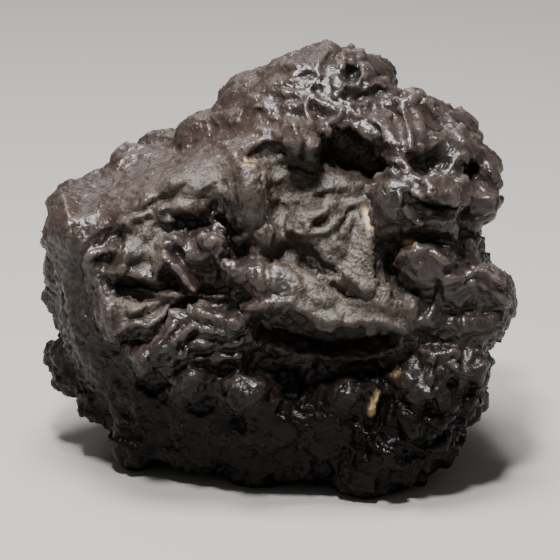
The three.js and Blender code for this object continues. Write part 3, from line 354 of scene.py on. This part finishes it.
RIDGES = [
    # Fins and rims of the crown
    (0.5, 0.5, [(10.9, 34.4), (9.8, 32.8), (9.9, 31.4)]),
    (0.5, 0.5, [(13.5, 31.5), (15.2, 31), (15.7, 31.4)]),
    (0.6, 0.5, [(10.7, 27.4), (12.4, 28.2), (13.3, 27), (15, 26.1)]),
    (0.5, 0.5, [(9.6, 30.4), (11.2, 29.1), (13, 28.5), (15, 28.3)]),
    (0.6, 0.5, [(14.6, 33), (14.8, 35), (14.2, 37)]),
    (0.5, 0.5, [(15.2, 29), (17.6, 28.5)]),
    (0.5, 0.5, [(4.9, 29.8), (3.4, 30.6), (1.6, 30.2)]),
    (0.5, 0.5, [(7, 35), (8, 36.3), (8.8, 37.3)]),
    (0.8, 0.45, [(10.9, 34.4), (11.2, 35.6), (11.4, 36.6)]),
    (0.7, 0.45, [(12.5, 35.3), (12.7, 36.4)]),
    (0.6, 0.5, [(10.2, 33.2), (11.3, 31.7), (13.5, 31.5), (14.6, 33)]),
    (0.5, 0.5, [(9.4, 31.4), (10.6, 31.3), (11.6, 30.6)]),
    (0.7, 0.5, [(15.2, 33.2), (15.7, 31.4), (17.1, 32.2), (20, 30.1)]),
    (0.35, 0.5, [(4.6, 34.8), (6.5, 34.4), (7.2, 33.2), (6.2, 32.1), (3.8, 32.1)]),
    (0.3, 0.4, [(5.8, 31.4), (6.6, 32.2), (8.2, 32.2)]),
    (0.6, 0.5, [(6.4, 29.8), (5.3, 29.4), (5.1, 27.4), (5.9, 25.6), (7.2, 24.9)]),
    (0.5, 0.5, [(6.7, 29.2), (7.6, 28.5), (9.7, 28.4), (10.8, 27.5), (10.7, 26.2), (9.6, 25.2)]),
    (0.5, 0.6, [(1.9, 28.3), (4, 28.7), (5.2, 28.1)]),
    (0.5, 0.5, [(1.6, 25.2), (4.4, 25.6)]),
    (0.5, 0.5, [(15, 26), (17, 26.1), (18.6, 26)]),
    (0.5, 0.5, [(-3, 34), (-1, 34.8), (1.6, 35.2), (4, 35)]),
    (0.5, 0.6, [(-1, 31.6), (1.8, 32.4), (3.2, 33.6)]),
    # Edge of the smooth shoulder and of the arch
    (0.6, 0.7, [(-34.8, 3.2), (-33, 4.9), (-31, 6.4), (-29, 8), (-27, 8.8), (-25.4, 10.2),
                (-22.6, 11.9), (-20, 12.9), (-18.4, 14.6), (-15.4, 16), (-13, 17.4), (-9, 18.9),
                (-5.4, 21), (-2, 22.6), (1.7, 22.2)]),
    (0.7, 0.6, [(1.8, 25), (3.9, 25.1), (5, 22.6), (7.1, 22.4), (8, 23.2), (10.2, 24.7), (12.6, 25.4)]),
    # Blades
    (0.64, 0.9, [(12.8, 25.2), (14.6, 24), (16.4, 22.4), (18, 20.5), (20.2, 18.6), (22.7, 16.7)]),
    (0.56, 1.05, [(16.4, 26), (18.2, 24.2), (19.6, 21.4)]),
    (0.64, 0.9, [(18.4, 25.8), (19.6, 23.2), (20.9, 20.4)]),
    (1.04, 0.9, [(21.8, 28.8), (21.6, 27.2), (22.3, 24.8), (22.8, 22.4), (22.9, 20.8)]),
    (0.64, 1.2, [(23.2, 29.2), (24.4, 26), (24.6, 23), (24.4, 20.4)]),
    (0.72, 0.75, [(21.9, 18.4), (22.7, 17), (22.2, 16.2)]),
    (0.8, 0.75, [(26.2, 20.6), (27.4, 22), (29, 21.9), (31.9, 20.2)]),
    (0.72, 0.75, [(31.9, 20.1), (30.3, 18.9), (28.7, 16.8)]),
    (0.72, 0.9, [(24.2, 29.6), (25.8, 27), (27.2, 25.7), (29, 24.8), (31, 23.2), (33, 20.9), (34.6, 18),
                 (36, 15.8), (37.9, 13)]),
    (0.4, 0.52, [(28.6, 25.9), (29.8, 27.3)]),
    (0.48, 0.6, [(25.6, 28.6), (26.4, 27.4), (27, 26)]),
    # Block edges
    (1.3, 0.45, [(23.6, 13.6), (25.6, 14.7), (27, 14), (28.4, 13.3), (30.6, 13.1)]),
    (1.1, 0.4, [(21.2, 12.8), (21, 11.6), (22.2, 10.4), (24.6, 9.8)]),
    (1, 0.4, [(21.4, 1.6), (21.8, 2.6), (23.4, 2.6), (25.8, 3.2), (28.6, 2)]),
    (1, 0.4, [(28.6, -1.2), (31.4, -0.8), (35, -0.6), (38.4, -2)]),
    (0.7, 0.4, [(31, -2.4), (33.6, -1.8), (36, -3), (38.6, -4.4)]),
    # Hollow
    (1.5, 0.5, [(2.6, 6.8), (5, 9.1), (7.3, 9.5), (9.2, 11.8)]),
    (0.7, 0.6, [(2.8, 6.8), (5.4, 6.1), (8.4, 6.9)]),
    (0.8, 0.4, [(5, 9), (5.5, 6.4)]),
    (0.7, 0.8, [(-1.4, 12.6), (2.6, 11.6), (5.6, 12.8), (9, 14.5)]),
    (0.9, 1.2, [(-6.8, 19.6), (-6, 17), (-5.3, 14), (-5.2, 11), (-4.2, 8), (-3.6, 5), (-3, 1.6),
                (-2.4, -2.4)]),
    # Ledge lip
    (1.1, 0.6, [(-4.8, -6.4), (-1.6, -5.7), (2.3, -5.2), (6.3, -7.5), (12, -8.6), (17.6, -8.3),
                (22.2, -10), (24.2, -11.7)]),
    # Net of ridges of the front left face
    (1, 0.6, [(-19.6, 10.6), (-16, 11.2), (-12.4, 11), (-10.8, 9.6), (-9, 11), (-7.4, 10.8), (-5.3, 9),
              (-4.5, 7.6), (-5.2, 6.2), (-6.6, 5.5)]),
    (1.3, 0.8, [(-18.9, 4.2), (-17.4, 4.9), (-16.2, 4.4), (-15, 2.4), (-14.4, 1)]),
    (1.3, 0.7, [(-10, 4.9), (-9.5, 3), (-9.2, 1.5), (-8, 1)]),
    (2, 0.8, [(-27.6, 0), (-26.2, 1.5), (-25.3, 0.2), (-24, -0.3), (-22, -0.4), (-20.2, -1.2),
              (-19.6, 1), (-18.8, 2.3), (-17.4, 0.9), (-16, -0.6), (-14.2, -3.2)]),
    (1.2, 0.9, [(-31.6, 3), (-31.8, 1), (-30.6, -1), (-30, -3), (-28.8, -5.4), (-28.4, -8),
                (-27.6, -10.2)]),
    (1, 0.4, [(-26.6, 8.4), (-25, 7.8), (-24, 9.2), (-22, 9.7)]),
    (1.3, 0.7, [(-27.4, -9.9), (-24, -8.8), (-21.6, -9.6), (-19.4, -7.8), (-17.8, -5.2),
                (-16.8, -4.4)]),
    (1.2, 0.6, [(-24.8, -6.9), (-22.6, -6.6), (-20.4, -6), (-18.4, -4.3), (-17, -3.9)]),
    (1.3, 0.8, [(-22.6, -15), (-20.4, -13), (-18.4, -10.8), (-16.8, -8.7), (-14.8, -7.5), (-13, -7.3),
                (-11.4, -8.1), (-8.6, -8.5), (-6.8, -9)]),
    (0.9, 0.5, [(-21.4, -14.6), (-18.2, -12.8), (-16, -11), (-14, -9.8), (-11.4, -10.2), (-8, -10.8)]),
    (0.8, 0.5, [(-18, -15.2), (-15, -13.2), (-12, -12.2), (-8.6, -12.8), (-6.4, -12)]),
    (1, 0.5, [(-13.4, -14.8), (-10, -14.2), (-6.6, -14.4)]),
    (1, 1, [(-36, 12), (-35.4, 8.4), (-34.9, 4.4), (-35.4, -1), (-34.6, -7.6), (-33, -14)]),
    (1, 0.4, [(-25.6, -2.6), (-23, -2.9), (-21, -3.2)]),
    # Facet edges and streaks at the lower right
    (0.9, 0.5, [(24.5, -13.5), (27, -14.8), (30.8, -14.2)]),
    (0.9, 0.5, [(27, -14.8), (26.4, -18.2)]),
    (0.9, 0.5, [(30.4, -16.6), (33.5, -18), (35, -16)]),
    (0.8, 0.5, [(-9, -19.4), (-6, -18.6), (-2.4, -20.4)]),
    (0.9, 0.4, [(14.6, -27.6), (17.4, -29.6), (19.2, -31), (20.6, -33)]),
    (0.7, 0.4, [(14, -17.6), (17.4, -18.6), (19.6, -18.2)]),
    (0.7, 0.4, [(12, -19.4), (14.6, -20.6), (16.6, -20)]),
    (0.7, 0.4, [(33.4, -20.6), (32.2, -23.6), (31, -26.6)]),
]
RIDGE_SHARPNESS = 1.3
RECESS_LIP = 0.1
# Drawn lines sway by so many millimetres, in waves of that size.
SWAY = 0.3
SWAY_SIZE = 2.2
NOISE_SEED = 3
# The drawn forms fade out where the surface turns away from the viewer.
TURNED_AWAY = 0.02
TURNED_FADE = 0.3
NORMAL_SMOOTHING = 3

toward_viewer = np.array(TO_CAMERA)


def in_picture(points):
    """Where points are seen, in millimetres right of and above the middle."""
    from_middle = (points - np.array(SEEN_MIDDLE)) / MM
    far = CAMERA_DISTANCE / MM
    nearer = far / (far - from_middle @ toward_viewer)
    return np.stack([from_middle[:, 0] * nearer, from_middle @ np.array(PICTURE_UP) * nearer], 1)


def distance_to(places, line):
    """Distance in the picture from places to a line through points."""
    line = [np.array(p, float) for p in line]
    nearest = np.linalg.norm(places - line[0], axis=1)
    for start, end in zip(line, line[1:]):
        run = end - start
        along = np.clip((places - start) @ run / (run @ run), 0, 1)
        nearest = np.minimum(nearest, np.linalg.norm(places - start - along[:, None] * run, axis=1))
    return nearest


def inside(places, outline):
    """How far inside an outline places lie, less than nothing outside it."""
    within = np.zeros(len(places), bool)
    for (x0, y0), (x1, y1) in zip(outline, outline[1:] + outline[:1]):
        crosses = (places[:, 1] >= y0) != (places[:, 1] >= y1)
        with np.errstate(divide="ignore", invalid="ignore"):
            at = x0 + (places[:, 1] - y0) * (x1 - x0) / (y1 - y0)
        within ^= crosses & (places[:, 0] < at)
    return np.where(within, 1, -1) * distance_to(places, outline + outline[:1])


def bell(share):
    """Goes smoothly from 0 to 1 as the share does."""
    share = np.clip(share, 0, 1)
    return share * share * (3 - 2 * share)


def faces_viewer(normals):
    """Goes from 0 where the surface turns away from the viewer to 1 where it faces the viewer."""
    return bell((normals @ toward_viewer - TURNED_AWAY) / TURNED_FADE)


def sway(places, by):
    """Places moved a little by noise, so that no drawn line stays straight."""
    moved = np.array([noise.noise_vector(Vector((x, z, 0)) / SWAY_SIZE)[:2] for x, z in places])
    return places + by * moved


# The drawn forms push the points between outward and toward the viewer. The seed holds every noise in
# this file to the same shapes each time.
noise.seed_set(NOISE_SEED)
points = read_points()
normals = spread(read_normals(), NORMAL_SMOOTHING)
normals /= np.linalg.norm(normals, axis=1)[:, None]
front = np.flatnonzero(faces_viewer(normals) > 0)
places = sway(in_picture(points[front]), SWAY)
rise = np.zeros(len(front))
for height, slope, outline in LUMPS:
    rise += height * bell(inside(places, outline) / slope)
deepest = np.zeros(len(front))
for depth, slope, outline in RECESSES:
    deepest = np.maximum(deepest, depth * bell(inside(places, outline) / slope + RECESS_LIP))
highest = np.zeros(len(front))
for height, reach, line in RIDGES:
    share = np.clip(1 - distance_to(places, line) / (RIDGE_REACHES * reach), 0, 1)
    highest = np.maximum(highest, RIDGE_HEIGHTS * height * share**RIDGE_SHARPNESS)
rise += highest - deepest
toward = normals[front] + toward_viewer
toward /= np.linalg.norm(toward, axis=1)[:, None]
points[front] += toward * (rise * faces_viewer(normals[front]) * MM)[:, None]
move_to(points)

# Finer cells, with every edge and hollow made a little stronger against the surface around it.
FINE_CELL = 0.27 * MM
FINE_SMOOTHING = 2
EDGE_ROUNDS = 28
EDGE_GAIN = 0.5
EDGE_LIMIT = 0.5 * MM
rework("fine cells", "REMESH", mode="VOXEL", voxel_size=FINE_CELL)
points = spread(read_points(), FINE_SMOOTHING)
stands_out = points - spread(points, EDGE_ROUNDS)
move_to(points + EDGE_GAIN * np.clip(stands_out, -EDGE_LIMIT, EDGE_LIMIT))

# Each drawn ridge ends in a narrow crest, which only the fine cells can hold.
CREST_HEIGHT = 0.14
CREST_REACH = 0.5
points = read_points()
normals = read_normals()
front = np.flatnonzero(faces_viewer(normals) > 0)
places = sway(in_picture(points[front]), SWAY)
crest = np.zeros(len(front))
for height, _, line in RIDGES:
    share = np.clip(1 - distance_to(places, line) / CREST_REACH, 0, 1)
    crest = np.maximum(crest, min(height, 1) * share)
crest *= faces_viewer(normals[front]) * CREST_HEIGHT
points[front] += normals[front] * (crest * MM)[:, None]
move_to(points)

# Weathering all over: shallow scooped cups that meet in sharp ridges, flat chips, lumps and wrinkles.
# It is weak where the front is drawn above, weaker still on the smooth shoulder and the polished
# facets, and grainy on the broken floors. Sizes are millimetres across, heights are millimetres.
SCOOP_SIZE = 4.6
SMALL_SCOOP_SIZE = 1.9
CHIP_SIZE = 3.6
WRINKLE_SIZE = 2.1
LUMP_SIZE = 6.5
PATCH_SIZE = 9
SCOOP_HEIGHT = 2.4
SMALL_SCOOP_HEIGHT = 0.9
CHIP_HEIGHT = 0.8
WRINKLE_HEIGHT = 0.36
LUMP_HEIGHT = 0.7
SCOOP_MIDDLE = 0.3
SMALL_SCOOP_SHIFT = Vector((7, 3, 5))
CHIP_SHIFT = Vector((2, 9, 4))
CHIP_TURNS = 3.7
PATCH_SHIFT = Vector((3, 8, 1))
BEND = 1.3
BEND_SIZE = 3.3
# Roughness, step from one size to the next, number of sizes, offset and gain
WRINKLE_FORM = (0.8, 2.2, 4, 1, 2)
WRINKLE_MIDDLE = 1
# Scoops are hollow where the surface looks up, and stand out as knobs where it looks down.
HOLLOW_GAIN = 1.5
HOLLOW_LESS = 0.2
DRAWN_ABOVE = -25
DRAWN_FADE = 7
FOOT_HEIGHT = 1.5 * MM
SHOULDER_REACH = 12
SHOULDER_TILT = 0.1
SHOULDER_TILT_FADE = 0.4
# The share of each relief that is missing where the front is drawn, and where it is smooth, broken
# and polished
SCOOPS_MISSING = (0.88, 0.4, 0, 0)
SMALL_SCOOPS_MISSING = (0.83, 0.6, 0.5, 0)
CHIPS_MISSING = (0.5, 1, 0.7, 0)
WRINKLES_MISSING = (0, 0.2, 0.17, 0.7)
LUMPS_MISSING = (0.7, 0, 0, 0)
SMOOTH_SHOULDER = [(-37, 6), (-25, 15), (-12, 22), (-7, 26), (-2, 33)]
BROKEN_FLOORS = [
    (9, [(4, 14), (8, 6), (12, -3)]),
    (5, [(-1, 15), (0, 6)]),
    (4, [(6, -5.5), (20, -7)]),
    (3, [(-23, 8), (-22, 3)]),
    (2.5, [(-26, -6), (-20, -6)]),
    (3.5, [(-18, 13), (-10, 16)]),
]
POLISHED_FACETS = [
    (5, [(18, 12), (28, 13), (36, 12)]),
    (5, [(24, 1), (34, -3)]),
    (5, [(17, 26), (25, 22)]),
    (5, [(3, 31), (11, 33), (17, 32)]),
    (5, [(2, 26), (15, 28)]),
    (4, [(31, 24), (36, 17)]),
    (2.5, [(-27, 0), (-20, -1), (-19, 2), (-14, -3)]),
]


def near(places, lines):
    """Goes from 1 on any of the lines to 0 at one and a half times its reach."""
    share = np.zeros(len(places))
    for reach, line in lines:
        share = np.maximum(share, bell(1.5 - distance_to(places, line) / reach))
    return share


def relief_at(point):
    """Scoops, small scoops, chips, wrinkles and lumps at a point, and how its patch leans."""
    place = Vector(point) / MM
    bent = place + BEND * noise.noise_vector(place / BEND_SIZE)
    scoop = noise.voronoi(bent / SCOOP_SIZE)[0][0] ** 2
    small_scoop = noise.voronoi(bent / SMALL_SCOOP_SIZE + SMALL_SCOOP_SHIFT)[0][0] ** 2
    in_chips = bent / CHIP_SIZE + CHIP_SHIFT
    chip_middle = noise.voronoi(in_chips)[1][0]
    chip = (in_chips - chip_middle) @ noise.noise_vector(chip_middle * CHIP_TURNS).normalized()
    wrinkle = noise.ridged_multi_fractal(bent / WRINKLE_SIZE, *WRINKLE_FORM) - WRINKLE_MIDDLE
    lump = noise.noise(place / LUMP_SIZE)
    patch = noise.noise(place / PATCH_SIZE + PATCH_SHIFT)
    return scoop, small_scoop, chip, wrinkle, lump, patch


def left(missing):
    """What is left of a relief at each point, by the shares of it that are missing."""
    share = 1
    for less, where in zip(missing, (drawn, smooth, broken, polished)):
        share = share * (1 - less * where)
    return share


points = read_points()
normals = read_normals()
places = in_picture(points)
in_front = faces_viewer(normals)
smooth = bell(1 - distance_to(places, SMOOTH_SHOULDER) / SHOULDER_REACH)
smooth *= bell((normals[:, 2] - SHOULDER_TILT) / SHOULDER_TILT_FADE)
broken = in_front * near(places, BROKEN_FLOORS)
polished = in_front * near(places, POLISHED_FACETS)
drawn = in_front * bell((places[:, 1] - DRAWN_ABOVE) / DRAWN_FADE)
scoop, small_scoop, chip, wrinkle, lump, patch = np.array([relief_at(p) for p in points]).T
hollow = np.clip(HOLLOW_GAIN * (normals[:, 2] + patch) - HOLLOW_LESS, -1, 1)
small_hollow = np.clip(HOLLOW_GAIN * patch + hollow, -1, 1)
height = SCOOP_HEIGHT * left(SCOOPS_MISSING) * hollow * (scoop - SCOOP_MIDDLE)
height += SMALL_SCOOP_HEIGHT * left(SMALL_SCOOPS_MISSING) * small_hollow * (small_scoop - SCOOP_MIDDLE)
height += CHIP_HEIGHT * left(CHIPS_MISSING) * chip
height += WRINKLE_HEIGHT * left(WRINKLES_MISSING) * wrinkle
height += LUMP_HEIGHT * left(LUMPS_MISSING) * lump
on_feet = np.clip(points[:, 2] / FOOT_HEIGHT, 0, 1)
move_to(points + normals * (height * on_feet * MM)[:, None])

# Where the surface stands out or lies back, and where it is broken, smooth or holds pale sediment,
# kept on its points for the finish.
SEDIMENT = [
    (0.45, [(-5.2, 18.9), (-3.9, 18.3)]),
    (0.45, [(15.2, 10.6), (16, 7.4)]),
    (0.5, [(22.2, 4.9), (23.6, 4.8)]),
    (0.45, [(20.2, -17.6), (20.8, -16.8)]),
    (0.5, [(17.2, -20.9), (16.2, -24.2)]),
]
BULGE_ROUNDS = 22
MOST_TRIANGLES = 190000

points = read_points()
bulge = ((points - spread(points, BULGE_ROUNDS)) * read_normals()).sum(1) / MM
sediment = in_front * near(in_picture(points), SEDIMENT)
kept = {"bulge": bulge, "broken": broken, "smooth": smooth, "sediment": sediment}
for name, values in kept.items():
    attribute = stone.data.attributes.new(name, "FLOAT", "POINT")
    attribute.data.foreach_set("value", values.astype(np.float32))
triangles = sum(len(face.vertices) - 2 for face in stone.data.polygons)
rework("fewer triangles", "DECIMATE", ratio=min(1, MOST_TRIANGLES / triangles))

# Iron oxide, goethite turned to hematite, with a waxy desert varnish that the wind has polished. The
# varnish gives small bright lights on every edge, helped by a painted highlight: the edges that stand
# out are coloured lighter, partly as wear. The broken floors are duller, paler and granular.
DARK_VARNISH = linear("#1f1816")
LIGHT_VARNISH = linear("#362b27")
SHOULDER_VARNISH = linear("#30241f")
DARK_GRAINS = linear("#2a231f")
LIGHT_GRAINS = linear("#50463c")
# Edges that stand out are coloured lighter, as wear and as a painted highlight.
WORN_EDGE_AND_HIGHLIGHT = linear("#4d443e")
# Painted shade in the hollows: points that lie back are coloured darker.
HOLLOW_SHADE = linear("#221815")
# Painted shade: the stone is coloured darker towards the floor, as the shade under it.
LOWER_SHADE = linear("#0c0908")
PALE_SEDIMENT = linear("#b49a70")
VARNISH_IOR = 1.5
VARNISH_ROUGHNESS = 0.4
WORN_ROUGHNESS = 0.24
BROKEN_ROUGHNESS = 0.58
VARNISH_REFLECTS = 0.5
LOWER_REFLECTS = 0.14
LIGHT_PATCH_SIZE = 9
GRAIN_SIZE = 0.6
NOISE_DETAIL = 4
VARNISH_WRINKLE_SIZE = 0.9
VARNISH_WRINKLE_DETAIL = 5
VARNISH_WRINKLE_TWIST = 0.4
BUMP_DEPTH = 0.25 * MM
# Where each finish begins and where it is full, by the noise, by how many millimetres a point stands
# out, or by its height above the floor. Broken floors are dullest at DULL_FULL of their grains.
LIGHT_PATCHES = {"From Min": 0.35, "From Max": 0.68}
LIGHT_GRAINED = {"From Min": 0.3, "From Max": 0.7}
STANDS_OUT = {"From Min": 0.05, "From Max": 0.35}
LIES_DEEP = {"From Min": -0.15, "From Max": -0.8}
LIES_LOW = {"From Min": 34 * MM, "From Max": 16 * MM}
DULL_FULL = 0.5


def add_node(material, kind, inputs, **properties):
    """Adds a node, sets its properties, and gives its inputs values or links to other nodes."""
    node = material.node_tree.nodes.new("ShaderNode" + kind)
    for name, value in properties.items():
        setattr(node, name, value)
    for socket, value in inputs.items():
        if isinstance(value, bpy.types.NodeSocket):
            material.node_tree.links.new(value, node.inputs[socket])
        else:
            node.inputs[socket].default_value = value
    return node


def per_mm(size):
    """The texture scale whose features are about that many millimetres across."""
    return 1 / (size * MM)


iron_oxide = bpy.data.materials.new("varnished iron oxide")
iron_oxide.use_nodes = True
finish = iron_oxide.node_tree.nodes["Principled BSDF"]
finish.inputs["IOR"].default_value = VARNISH_IOR
links = iron_oxide.node_tree.links

bulge, broken, smooth, sediment = (
    add_node(iron_oxide, "Attribute", {}, attribute_name=name).outputs["Fac"]
    for name in ("bulge", "broken", "smooth", "sediment")
)
here = add_node(iron_oxide, "TexCoord", {}).outputs["Object"]
up = add_node(iron_oxide, "SeparateXYZ", {"Vector": here}).outputs["Z"]
patches, grains = (
    add_node(
        iron_oxide, "TexNoise", {"Vector": here, "Scale": per_mm(size), "Detail": NOISE_DETAIL}
    ).outputs["Fac"]
    for size in (LIGHT_PATCH_SIZE, GRAIN_SIZE)
)

# How much of each finish there is, from 0 to 1
light_patch, light_grain, edge_wear_and_highlight, deep, low = (
    add_node(iron_oxide, "MapRange", {"Value": value, **limits}).outputs[0]
    for value, limits in (
        (patches, LIGHT_PATCHES),
        (grains, LIGHT_GRAINED),
        (bulge, STANDS_OUT),
        (bulge, LIES_DEEP),
        (up, LIES_LOW),
    )
)

# Each mix lays one more colour over those before it, by the share of its finish. Inputs 6 and 7 of a
# mix are its colours, and output 2 is its result.
granular = add_node(
    iron_oxide, "Mix", {0: light_grain, 6: DARK_GRAINS, 7: LIGHT_GRAINS}, data_type="RGBA"
).outputs[2]
colour = DARK_VARNISH
for share, above in (
    (light_patch, LIGHT_VARNISH),
    (smooth, SHOULDER_VARNISH),
    (broken, granular),
    # lighter edges: wear and a painted highlight
    (edge_wear_and_highlight, WORN_EDGE_AND_HIGHLIGHT),
    # painted shade in the hollows
    (deep, HOLLOW_SHADE),
    # painted shade, darker towards the floor
    (low, LOWER_SHADE),
    (sediment, PALE_SEDIMENT),
):
    layer = add_node(iron_oxide, "Mix", {0: share, 6: colour, 7: above}, data_type="RGBA")
    colour = layer.outputs[2]
links.new(colour, finish.inputs["Base Color"])

# Worn edges are polished, broken floors are dull, and the lower part, painted dark as shade, reflects
# less.
polish = add_node(
    iron_oxide, "MapRange", {"Value": edge_wear_and_highlight, "To Min": VARNISH_ROUGHNESS, "To Max": WORN_ROUGHNESS}
).outputs[0]
dull = add_node(iron_oxide, "Math", {0: broken, 1: grains}, operation="MULTIPLY").outputs[0]
roughness = add_node(
    iron_oxide,
    "MapRange",
    {"Value": dull, "From Max": DULL_FULL, "To Min": polish, "To Max": BROKEN_ROUGHNESS},
).outputs[0]
links.new(roughness, finish.inputs["Roughness"])
reflects = add_node(
    iron_oxide, "MapRange", {"Value": low, "To Min": VARNISH_REFLECTS, "To Max": LOWER_REFLECTS}
).outputs[0]
links.new(reflects, finish.inputs["Specular IOR Level"])

# Fine wrinkles in the varnish, and grains on the broken floors
wrinkles = add_node(
    iron_oxide,
    "TexNoise",
    {
        "Vector": here,
        "Scale": per_mm(VARNISH_WRINKLE_SIZE),
        "Detail": VARNISH_WRINKLE_DETAIL,
        "Distortion": VARNISH_WRINKLE_TWIST,
    },
    noise_type="RIDGED_MULTIFRACTAL",
).outputs["Fac"]
wrinkled = add_node(
    iron_oxide, "Bump", {"Height": wrinkles, "Strength": 1, "Distance": BUMP_DEPTH}
).outputs[0]
grained = add_node(
    iron_oxide,
    "Bump",
    {"Height": grains, "Strength": broken, "Distance": BUMP_DEPTH, "Normal": wrinkled},
).outputs[0]
links.new(grained, finish.inputs["Normal"])

stone.data.name = "prophecy_stone"
stone.data.materials.clear()
stone.data.materials.append(iron_oxide)
stone.data.shade_smooth()
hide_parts("stone")
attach(stone, "root")
